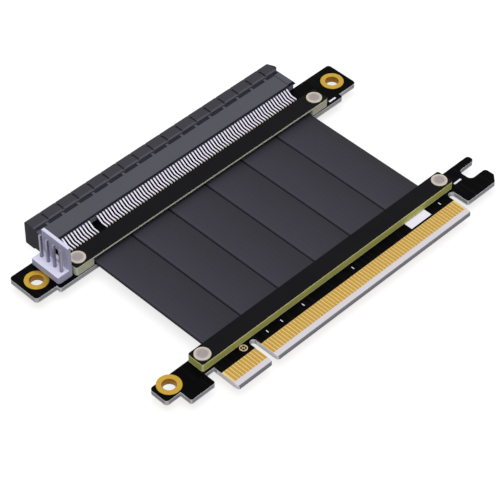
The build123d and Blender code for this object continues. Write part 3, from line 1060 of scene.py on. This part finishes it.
@dataclass
class Rivet:
    """A rivet through a clamp bar and its board, with a low crown above and a rolled tail below."""

    node: str
    bar: str
    board: str
    head: float = 2.2 * MM
    shank: float = 1.08 * MM
    tail: float = 1.8 * MM
    rim: float = 0.18 * MM
    crown_rise: float = 0.1 * MM
    crown: tuple[Flat, ...] = ((0.0, 0.0), (0.35, 0.15), (0.62, 0.55), (0.74, 1.0))
    shoulder_fall: float = 0.8
    dimple: float = 0.25 * MM
    dimple_radius: float = 0.756 * MM
    dimple_edge: float = 0.02 * MM

    def build(self) -> None:
        """Build the rivet and let it stand for its solid.

        The crown's points are shares of the head's radius and of the crown's rise.
        """
        box = NodeBox(self.node)
        top, foot = box.high.z, box.low.z
        seat, under = NodeBox(self.bar).high.z, NodeBox(self.board).low.z
        outline = [(self.head * out, top - self.crown_rise * fall) for out, fall in self.crown]
        shoulder = top - self.crown_rise * self.shoulder_fall
        outline += arc((self.head - self.rim, shoulder - self.rim), self.rim, 90, 0)
        outline += [(self.head, seat), (self.shank, seat), (self.shank, under), (self.tail, under)]
        outline += arc((self.tail - self.rim, foot + self.rim), self.rim, 0, -90)
        outline += [(self.dimple_radius, foot + self.dimple_edge), (0.0, foot + self.dimple)]
        shape = bmesh.new()
        lathe(shape, outline, (box.centre.x, box.centre.y, 0.0))
        finish = TurnedFinish(name=self.node + "_metal", node=self.node)
        to_piece(self.node + "_form", shape, finish.material(), (self.node,), 50)


@dataclass(frozen=True)
class Dash:
    """A plain printed rectangle: its middle from the board's middle and back edge, and its size, in mm."""

    name: str
    x: float
    y: float
    width: float
    depth: float


@dataclass
class Marks:
    """Plain printed marks on a board's upper face, in one paint."""

    board: str
    paint: Material
    film: float = 0.03 * MM

    def dashes(self, *dashes: Dash) -> None:
        """Print plain rectangles.

        Args:
            dashes: The rectangles, each a piece of its own.
        """
        box = NodeBox(self.board)
        for dash in dashes:
            x, y = dash.x * MM, box.high.y - dash.y * MM
            along, across = dash.width / 2 * MM, dash.depth / 2 * MM
            shape = bmesh.new()
            low = (x - along, y - across, box.high.z)
            add_block(shape, low, (x + along, y + across, box.high.z + self.film), self.film / 2)
            to_piece(dash.name, shape, self.paint)

    def ring(self, name: str, x: float, y: float, inner: float, outer: float) -> None:
        """Print one ring.

        Args:
            name: The piece's name.
            x: Its middle, in millimetres from the board's middle.
            y: Its middle, in millimetres from the board's back edge.
            inner: Its inner radius in metres.
            outer: Its outer radius in metres.
        """
        box = NodeBox(self.board)
        outline = [(inner, 0.0), (outer, 0.0), (outer, self.film), (inner, self.film)]
        shape = bmesh.new()
        lathe(shape, outline, (x * MM, box.high.y - y * MM, box.high.z), 48)
        to_piece(name, shape, self.paint)


@dataclass
class BoardEnd:
    """What both ends of the cable have: a board, its eyelets, its wires, a clamp bar and two rivets."""

    paint: Material
    copper: Material
    end: str
    bar_core: Colour
    bar_skin_and_highlight: Colour
    eyelets: tuple[str, ...]
    board_edge: float = 0.06 * MM
    bar_edge: float = 0.12 * MM

    @property
    def board(self) -> str:
        """The board's solid."""
        return self.end + "_board"

    def finish(self) -> BoardFinish:
        """The board's finish."""
        return BoardFinish(name=self.board + "_finish", node=self.board)

    def build(self) -> None:
        """Build and dress the pieces of this end."""
        softened(self.board, self.finish().material(), self.board_edge)
        dress(self.end + "_wire_ends", self.copper)
        for node in self.eyelets:
            Eyelet(node).build()
        bar = self.end + "_clamp_bar"
        finish = BarFinish(name=self.end + "_bar_finish", node=bar, core=self.bar_core, skin=self.bar_skin_and_highlight)
        softened(bar, finish.material(), self.bar_edge)
        for side in ("left", "right"):
            Rivet(f"{self.end}_rivet_{side}", bar, self.board).build()


@dataclass(kw_only=True)
class PlugEnd(BoardEnd):
    """The plug board with its fingers, eyelet, clamp bar, rivets and marks, whose places are in mm."""

    gold: Material
    cream: Material
    end: str = "plug"
    bar_core: Colour = screen(188, 189, 104)
    # pale laminate skins, brightened as a painted highlight along the bar's edges
    bar_skin_and_highlight: Colour = screen(238, 240, 176)
    eyelets: tuple[str, ...] = ("plug_eyelet",)
    white_marks: tuple[Dash, ...] = (
        Dash("hook_dash", 48.55, 4.65, 2.7, 0.55),
        Dash("blank_label", 30.6, 6.75, 7.6, 2.6),
    )
    pad: Flat = (-33.07, 6.64)
    pad_ring: Flat = (0.84 * MM, 1.06 * MM)
    cross_long: Flat = (1.76, 0.16)
    cross_short: Flat = (0.16, 0.76)
    cross_reach: float = 0.48
    tick_places: tuple[float, ...] = (-25.0, -20.0, -12.3, 5.8, 38.9)
    tick_y: float = 6.85
    tick_size: Flat = (0.25, 0.9)

    def finish(self) -> BoardFinish:
        """The plug board's finish."""
        return TongueBoardFinish(name=self.board + "_finish", node=self.board)

    def build(self) -> None:
        """Build and dress every piece of the plug end."""
        super().build()
        for face in Face:
            dress("plug_fingers_" + face.word, self.gold)
        white, cream = Marks(self.board, self.paint), Marks(self.board, self.cream)
        white.dashes(*self.white_marks)
        x, y = self.pad
        cream.ring("pad_ring", x, y, *self.pad_ring)
        cream.dashes(
            Dash("pad_cross_long", x, y, *self.cross_long),
            Dash("pad_cross_short_1", x, y + self.cross_reach, *self.cross_short),
            Dash("pad_cross_short_3", x, y - self.cross_reach, *self.cross_short),
        )
        for index, place in enumerate(self.tick_places):
            white.dashes(Dash(f"lane_tick_{index + 1}", place, self.tick_y, *self.tick_size))


@dataclass
class SocketEnd(BoardEnd):
    """The socket board with its eyelets, clamp bar, rivets and mark."""

    end: str = "socket"
    bar_core: Colour = screen(214, 214, 190)
    bar_skin_and_highlight: Colour = screen(226, 226, 206)
    eyelets: tuple[str, ...] = ("socket_eyelet_left", "socket_eyelet_right")

    def build(self) -> None:
        """Build and dress every piece of the socket end but the socket itself."""
        super().build()
        Marks(self.board, self.paint).dashes(Dash("ear_dash", 48.6, 10.8, 2.54, 0.55))


@dataclass
class RibbonBundle:
    """Six flat ribbons side by side, each a closed jacket with soft ridges over its wires."""

    count: int = 6
    across_steps: int = 56
    along_steps: int = 24
    ridge: float = 0.02 * MM
    wire_pitch: float = 1.5 * MM
    edge_thickness: float = 0.45 * MM
    edge_width: float = 0.55 * MM
    lower_edge: float = 0.12 * MM

    def section(self, box: NodeBox) -> list[Flat]:
        """Draw the closed outline of one ribbon, as (X, Z) points.

        Args:
            box: The place of the ribbon's solid.

        Returns:
            The outline, the upper line first.
        """
        low, high, size = box.low, box.high, box.size
        outline = []
        for step in range(self.across_steps + 1):
            offset = size.x * (step / self.across_steps - 0.5)
            share = min((size.x / 2 - abs(offset)) / self.edge_width, 1.0)
            wave = 0.5 + 0.5 * math.cos(2 * math.pi * offset / self.wire_pitch)
            crest = size.z - self.edge_thickness - self.ridge * (1 - wave)
            height = self.edge_thickness + crest * math.sin(share * math.pi / 2)
            outline.append((box.centre.x + offset, low.z + height))
        edge = self.lower_edge
        outline += [(high.x, low.z + edge), (high.x - edge, low.z)]
        outline += [(low.x + edge, low.z), (low.x, low.z + edge)]
        return outline

    def build(self) -> None:
        """Build every ribbon and let it stand for its solid."""
        for index in range(self.count):
            node = f"ribbon_{index + 1}"
            box = NodeBox(node)
            section = self.section(box)
            shares = [step / self.along_steps for step in range(self.along_steps + 1)]
            places = [box.low.y + box.size.y * share for share in shares]
            shape = bmesh.new()
            join_loops(shape, [[(x, y, z) for x, z in section] for y in places])
            finish = RibbonFinish(name=node + "_jacket", node=node, wire_pitch=self.wire_pitch)
            to_piece(node + "_form", shape, finish.material(), (node,))


@dataclass(frozen=True)
class SolderWedge:
    """The small wedge of solder round a contact's foot."""

    half_width: float = 0.27 * MM
    length: float = 0.42 * MM
    height: float = 0.24 * MM
    base_start: float = 0.25 * MM
    crest_start: float = 0.3 * MM
    crest_width: float = 0.72
    crest_length: float = 0.6
    steps: int = 8

    def add(self, shape: Shape, x: float, foot: float, surface: float, out: int) -> None:
        """Lay the wedge on a board.

        Args:
            shape: The shape that gets the faces.
            x: The contact's middle.
            foot: Where its foot ends, in Y.
            surface: The height of the board's face.
            out: 1 on the upper face, -1 on the lower one.
        """
        base, crest = [], []
        for step in range(self.steps + 1):
            turn = math.pi * step / self.steps
            side, reach = self.half_width * math.cos(turn), self.length * math.sin(turn)
            base.append((x + side, foot + self.base_start - reach, surface))
            across, along = x + side * self.crest_width, foot + self.crest_start - reach * self.crest_length
            crest.append((across, along, surface + out * self.height))
        join_loops(shape, [base, crest])


@dataclass
class SlotSocket:
    """The card-slot housing with its two rows of spring contacts, their solder and the comb between them."""

    tin: Material
    solder: Material
    row: ContactRow = ContactRow()
    flange: Flange = Flange()
    wedge: SolderWedge = SolderWedge()
    housing_edge: float = 0.12 * MM
    contact_width: float = 0.42 * MM
    contact_depth: float = 0.2 * MM
    contact_bend: float = 0.5 * MM
    # A contact's corners: Y from the housing's rear (tail) or mouth (spring), height from the board's middle
    tail: tuple[Flat, ...] = ((-3.9 * MM, 0.9 * MM), (-1.95 * MM, 0.9 * MM), (-0.05 * MM, 2.2 * MM))
    spring: tuple[Flat, ...] = ((-3.0 * MM, 0.65 * MM), (-1.5 * MM, 1.35 * MM))
    # The comb's walls: thickness, Y from the housing's mouth, height from the housing's middle
    wall: float = 0.22 * MM
    wall_reach: Flat = (-5.5 * MM, -1.02 * MM)
    wall_height: Flat = (0.92 * MM, 2.22 * MM)

    def build(self) -> None:
        """Build the housing, the contacts, the comb and the solder."""
        housing = NodeBox("socket_housing")
        finish = HousingFinish(
            name="housing_moulding",
            colour=screen(82, 82, 91),
            surface=Surface(roughness=0.5, specular=0.07, bump=0.3),
            flange=self.flange,
        ).material()
        softened("socket_housing", finish, self.housing_edge)
        self.bridges(housing, finish)
        for face in Face:
            self.contacts(face, housing)
            self.solder_feet(face, housing)
            self.comb(face, housing, finish)

    def bridges(self, housing: NodeBox, finish: Material) -> None:
        """Close the outer part of each notch, so that the flange's mouth edge runs through.

        Args:
            housing: The housing's place.
            finish: The housing's moulding.
        """
        sizes = self.flange
        half = sizes.notch_width / 2
        near, far = housing.high.y - sizes.depth + sizes.notch_reach, housing.high.y - sizes.mouth_chamfer
        shape = bmesh.new()
        for index in range(sizes.notches):
            x = sizes.first_notch_x + index * sizes.pitch
            low = (x - half, near, housing.high.z - sizes.notch_depth)
            add_block(shape, low, (x + half, far, housing.high.z))
        to_piece("flange_bridges", shape, finish)

    def contacts(self, face: Face, housing: NodeBox) -> None:
        """Build one row of spring contacts.

        Args:
            face: The side of the board that the row serves.
            housing: The housing's place.
        """
        middle = NodeBox("socket_board").centre.z
        corners = [(housing.low.y + y, middle + face.value * rise) for y, rise in self.tail]
        corners += [(housing.high.y + y, middle + face.value * rise) for y, rise in self.spring]
        line = bent_line(corners, self.contact_bend)
        shape = bmesh.new()
        for x in self.row.places():
            add_strip(shape, line, x, self.contact_width, self.contact_depth)
        node = "contacts_" + face.word
        to_piece(node + "_form", shape, self.tin, (node,))

    def solder_feet(self, face: Face, housing: NodeBox) -> None:
        """Lay a small solder wedge round the foot of each contact.

        Args:
            face: The side of the board.
            housing: The housing's place.
        """
        surface = NodeBox("socket_board").surface(face)
        shape = bmesh.new()
        for x in self.row.places():
            self.wedge.add(shape, x, housing.low.y + self.tail[0][0], surface, face.value)
        to_piece("solder_" + face.word, shape, self.solder, (), 60)

    def comb(self, face: Face, housing: NodeBox, finish: Material) -> None:
        """Stand the thin moulded walls between the contacts inside their trough.

        Args:
            face: The side of the board that the contacts serve.
            housing: The housing's place.
            finish: The housing's moulding.
        """
        near, far = (housing.high.y + reach for reach in self.wall_reach)
        low, high = sorted(housing.centre.z + face.value * height for height in self.wall_height)
        shape = bmesh.new()
        for x in self.row.places()[1:]:
            place = x - self.row.pitch / 2
            if abs(place - self.row.key_x) >= self.row.gap:
                add_block(shape, (place - self.wall / 2, near, low), (place + self.wall / 2, far, high))
        to_piece("comb_" + face.word, shape, finish)


@dataclass
class PowerInlet:
    """The power header with its pins and their solder below the board."""

    tin: Material
    solder: Material
    count: int = 4
    base_edge: float = 0.12 * MM
    pin_edge: float = 0.07 * MM
    cone: tuple[Flat, ...] = ((0.0, 0.0), (0.95, 0.0), (0.8, -0.15), (0.5, -0.75), (0.0, -0.85))

    def build(self) -> None:
        """Build the header, its pins and their solder cones, whose outline is in millimetres."""
        plastic = InletFinish(
            name="header_moulding",
            colour=screen(214, 213, 236),
            surface=Surface(roughness=0.5, specular=0.1, bump=0.2),
            contrast=0.05,
        )
        softened("power_header", plastic.material(), self.base_edge)
        outline = [(radius * MM, height * MM) for radius, height in self.cone]
        under = NodeBox("socket_board").low.z
        shape = bmesh.new()
        for index in range(self.count):
            node = f"header_pin_{index + 1}"
            softened(node, self.tin, self.pin_edge)
            pin = NodeBox(node).centre
            lathe(shape, outline, (pin.x, pin.y, under), 24)
        to_piece("pin_solder", shape, self.solder)


def aim(azimuth: float, elevation: float) -> Vector:
    """The direction that looks down at an elevation, turned from +Y towards +X, in degrees."""
    turn, tilt = math.radians(azimuth), math.radians(elevation)
    return Vector((math.sin(turn) * math.cos(tilt), math.cos(turn) * math.cos(tilt), -math.sin(tilt)))


@dataclass
class Studio:
    """The pale floor, the soft light and the camera at the photograph's place."""

    camera_place: Point = (-281.08, -278.03, 396.81)
    azimuth: float = 45.258
    elevation: float = 45.600
    roll: float = 0.391
    lens: float = 154.77
    sensor: float = 36.0
    near_clip: float = 0.01
    far_clip: float = 20.0
    sky_fill: float = 0.25
    sun_strength: float = 2.6
    sun_azimuth: float = 40.0
    sun_elevation: float = 75.0
    sun_angle: float = 60.0
    floor_reach: float = 2.0
    floor_steps: int = 8
    floor_drop: float = 0.02 * MM
    floor_bounce: float = 0.22
    floor_shadow: float = 0.28
    floor_glow: float = 0.76

    def build(self) -> None:
        """Set the camera, the light, the sky and the floor."""
        self.place_camera()
        self.place_sun()
        self.light_sky()
        self.lay_floor()
        bpy.context.scene.view_settings.view_transform = "Standard"

    def place_camera(self) -> None:
        """Stand the camera where the photograph was taken from."""
        turn, lean = math.radians(self.azimuth), math.radians(self.roll)
        look = aim(self.azimuth, self.elevation)
        level = Vector((math.cos(turn), -math.sin(turn), 0.0))
        right = level * math.cos(lean) + level.cross(look) * math.sin(lean)
        up = right.cross(look)
        data = bpy.data.cameras.new("photo_camera")
        data.lens = self.lens
        data.sensor_width = self.sensor
        data.clip_start = self.near_clip
        data.clip_end = self.far_clip
        camera = bpy.data.objects.new("photo_camera", data)
        rotation = Matrix((right, up, -look)).transposed().to_4x4()
        camera.matrix_world = Matrix.Translation(Vector(self.camera_place) * MM) @ rotation
        bpy.context.scene.collection.objects.link(camera)
        bpy.context.scene.camera = camera

    def place_sun(self) -> None:
        """Hang one broad soft lamp high above, a little towards the camera, which metal doesn't mirror."""
        data = bpy.data.lights.new("soft_sun", "SUN")
        data.energy = self.sun_strength
        data.angle = math.radians(self.sun_angle)
        lamp = bpy.data.objects.new("soft_sun", data)
        lamp.visible_glossy = False
        lamp.rotation_mode = "QUATERNION"
        lamp.rotation_quaternion = aim(self.sun_azimuth, self.sun_elevation).to_track_quat("-Z", "Y")
        bpy.context.scene.collection.objects.link(lamp)

    def seen_directly(self, graph: ShaderGraph) -> Socket:
        """Tell rays that see the studio from soft light.

        Args:
            graph: The graph of the sky or of the floor.

        Returns:
            1 for rays from the camera, a mirror or a glass, 0 for soft light.
        """
        path = graph.add("ShaderNodeLightPath").outputs
        either = graph.math("MAXIMUM", path["Is Camera Ray"], path["Is Glossy Ray"])
        return graph.math("MAXIMUM", either, path["Is Transmission Ray"])

    def light_sky(self) -> None:
        """Make the sky white to look at and dim as a light."""
        world = bpy.data.worlds.new("studio_sky")
        bpy.context.scene.world = world
        world.use_nodes = True
        world.node_tree.nodes.clear()
        graph = ShaderGraph(world.node_tree)
        strength = graph.remap(self.seen_directly(graph), 0.0, 1.0, self.sky_fill, 1.0)
        sky = graph.add("ShaderNodeBackground", {"Color": (1, 1, 1, 1), "Strength": strength})
        graph.add("ShaderNodeOutputWorld", {"Surface": sky.outputs[0]})

    def lay_floor(self) -> None:
        """Lay a plain floor that looks white and keeps the object's shadow."""
        shape = bmesh.new()
        steps = range(self.floor_steps + 1)
        marks = [self.floor_reach * (2 * step / self.floor_steps - 1) for step in steps]
        grid = [[shape.verts.new((x, y, -self.floor_drop)) for x in marks] for y in marks]
        for near, far in zip(grid, grid[1:]):
            for left, right in zip(steps, steps[1:]):
                shape.faces.new((near[left], near[right], far[right], far[left]))
        mesh = bpy.data.meshes.new("floor")
        shape.to_mesh(mesh)
        shape.free()
        material, graph = new_material("pale_floor")
        bounce, shadowed = (
            graph.add("ShaderNodeBsdfDiffuse", {"Color": (tone, tone, tone, 1.0)}).outputs[0]
            for tone in (self.floor_bounce, self.floor_shadow)
        )
        glow = graph.add("ShaderNodeEmission", {"Color": (1, 1, 1, 1), "Strength": self.floor_glow})
        white = graph.add("ShaderNodeAddShader", {0: shadowed, 1: glow.outputs[0]})
        inputs = {0: self.seen_directly(graph), 1: bounce, 2: white.outputs[0]}
        mixed = graph.add("ShaderNodeMixShader", inputs)
        graph.add("ShaderNodeOutputMaterial", {"Surface": mixed.outputs[0]})
        mesh.materials.append(material)
        floor = bpy.data.objects.new("floor", mesh)
        bpy.context.scene.collection.objects.link(floor)


def metal(name: str, colour: Colour, roughness: float, metallic: float, bump: float) -> Material:
    """Build a metal finish from its plain numbers."""
    surface = Surface(roughness=roughness, metallic=metallic, bump=bump)
    return MetalFinish(name=name, colour=colour, surface=surface).material()


def print_paint(name: str, colour: Colour) -> Material:
    """Build the finish of a printed mark."""
    surface = Surface(roughness=0.6, specular=0.2)
    return MouldedFinish(name=name, colour=colour, surface=surface, contrast=0.04).material()


def main() -> None:
    """Build the studio and every sub-assembly in order."""
    logging.basicConfig(level=logging.INFO, format="%(message)s")
    Studio().build()
    gold = metal("finger_gold", screen(199, 159, 70), 0.36, 1.0, 0.15)
    copper = metal("bare_copper", screen(196, 128, 92), 0.28, 1.0, 0.2)
    solder = metal("solder", screen(212, 204, 184), 0.38, 0.75, 0.2)
    white = print_paint("white_print", screen(228, 226, 240))
    cream = print_paint("cream_print", screen(222, 200, 160))
    PlugEnd(white, copper, gold=gold, cream=cream).build()
    RibbonBundle().build()
    SocketEnd(white, copper).build()
    SlotSocket(metal("tinned_contact", screen(240, 236, 252), 0.3, 0.9, 0.1), solder).build()
    PowerInlet(metal("tinned_pin", screen(146, 144, 158), 0.35, 0.9, 0.1), solder).build()


if __name__ == "__main__":
    main()
